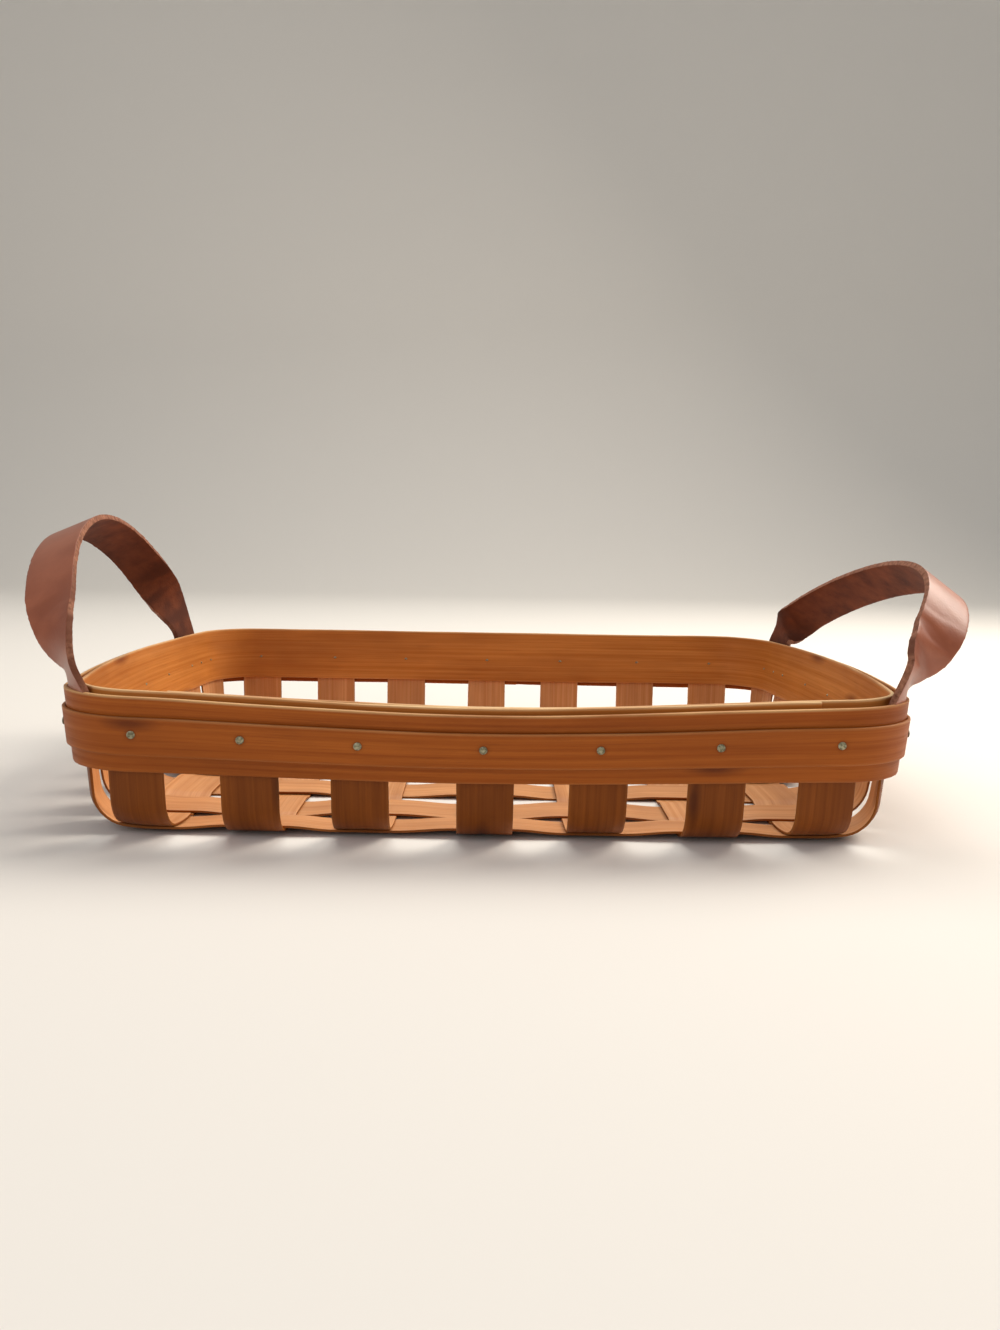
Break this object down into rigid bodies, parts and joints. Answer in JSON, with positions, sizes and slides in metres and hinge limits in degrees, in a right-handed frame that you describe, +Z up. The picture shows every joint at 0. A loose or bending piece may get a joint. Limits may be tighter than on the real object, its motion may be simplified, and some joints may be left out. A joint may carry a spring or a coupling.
{
  "type": "tobacco basket",
  "caption": "Shallow rectangular open-weave splint basket with tacked hoop bands round the rim and a leather strap handle at each end.",
  "frame": {"origin": "on the table under the middle of the basket, on the underside of the middle long splint", "axes": "+X along the basket's length to the right strap, +Y to the back, +Z up"},
  "size_m": [0.5046, 0.2911, 0.1505],
  "materials": {
    "splint_wood": "honey stained, satin",
    "band_wood": "honey stained, satin",
    "strap_leather": "smooth brown",
    "tack_metal": "dull"
  },
  "bodies": {
    "basket": {"cross_splint_1": "splint_wood", "cross_splint_2": "splint_wood", "cross_splint_3": "splint_wood", "cross_splint_4": "splint_wood", "cross_splint_5": "splint_wood", "cross_splint_6": "splint_wood", "cross_splint_7": "splint_wood", "long_splint_1": "splint_wood", "long_splint_2": "splint_wood", "long_splint_3": "splint_wood", "long_splint_4": "splint_wood", "long_splint_5": "splint_wood", "long_splint_6": "splint_wood", "long_splint_7": "splint_wood", "inner_band": "band_wood", "outer_band": "band_wood", "trim_band": "band_wood", "front_tack_1": "tack_metal", "front_tack_2": "tack_metal", "front_tack_3": "tack_metal", "front_tack_4": "tack_metal", "front_tack_5": "tack_metal", "front_tack_6": "tack_metal", "front_tack_7": "tack_metal", "back_tack_1": "tack_metal", "back_tack_2": "tack_metal", "back_tack_3": "tack_metal", "back_tack_4": "tack_metal", "back_tack_5": "tack_metal", "back_tack_6": "tack_metal", "back_tack_7": "tack_metal", "left_tack_1": "tack_metal", "left_tack_2": "tack_metal", "left_tack_3": "tack_metal", "left_tack_4": "tack_metal", "left_tack_5": "tack_metal", "left_tack_6": "tack_metal", "left_tack_7": "tack_metal", "right_tack_1": "tack_metal", "right_tack_2": "tack_metal", "right_tack_3": "tack_metal", "right_tack_4": "tack_metal", "right_tack_5": "tack_metal", "right_tack_6": "tack_metal", "right_tack_7": "tack_metal", "left_front_strap_tack": "tack_metal", "left_rear_strap_tack": "tack_metal", "right_front_strap_tack": "tack_metal", "right_rear_strap_tack": "tack_metal", "left_strap_front_end": "strap_leather", "left_strap_rear_end": "strap_leather", "right_strap_front_end": "strap_leather", "right_strap_rear_end": "strap_leather"},
    "left_handle": {"left_strap_loop": "strap_leather"},
    "right_handle": {"right_strap_loop": "strap_leather"}
  },
  "joints": [
    {"name": "left_handle_swing", "type": "hinge", "parent": "basket", "child": "left_handle", "pos_m": [-0.19882, 0, 0.0748], "axis": [0, -1, 0], "range_deg": [-72, 28]},
    {"name": "right_handle_swing", "type": "hinge", "parent": "basket", "child": "right_handle", "pos_m": [0.19882, 0, 0.0748], "axis": [0, 1, 0], "range_deg": [-83, 17]}
  ]
}
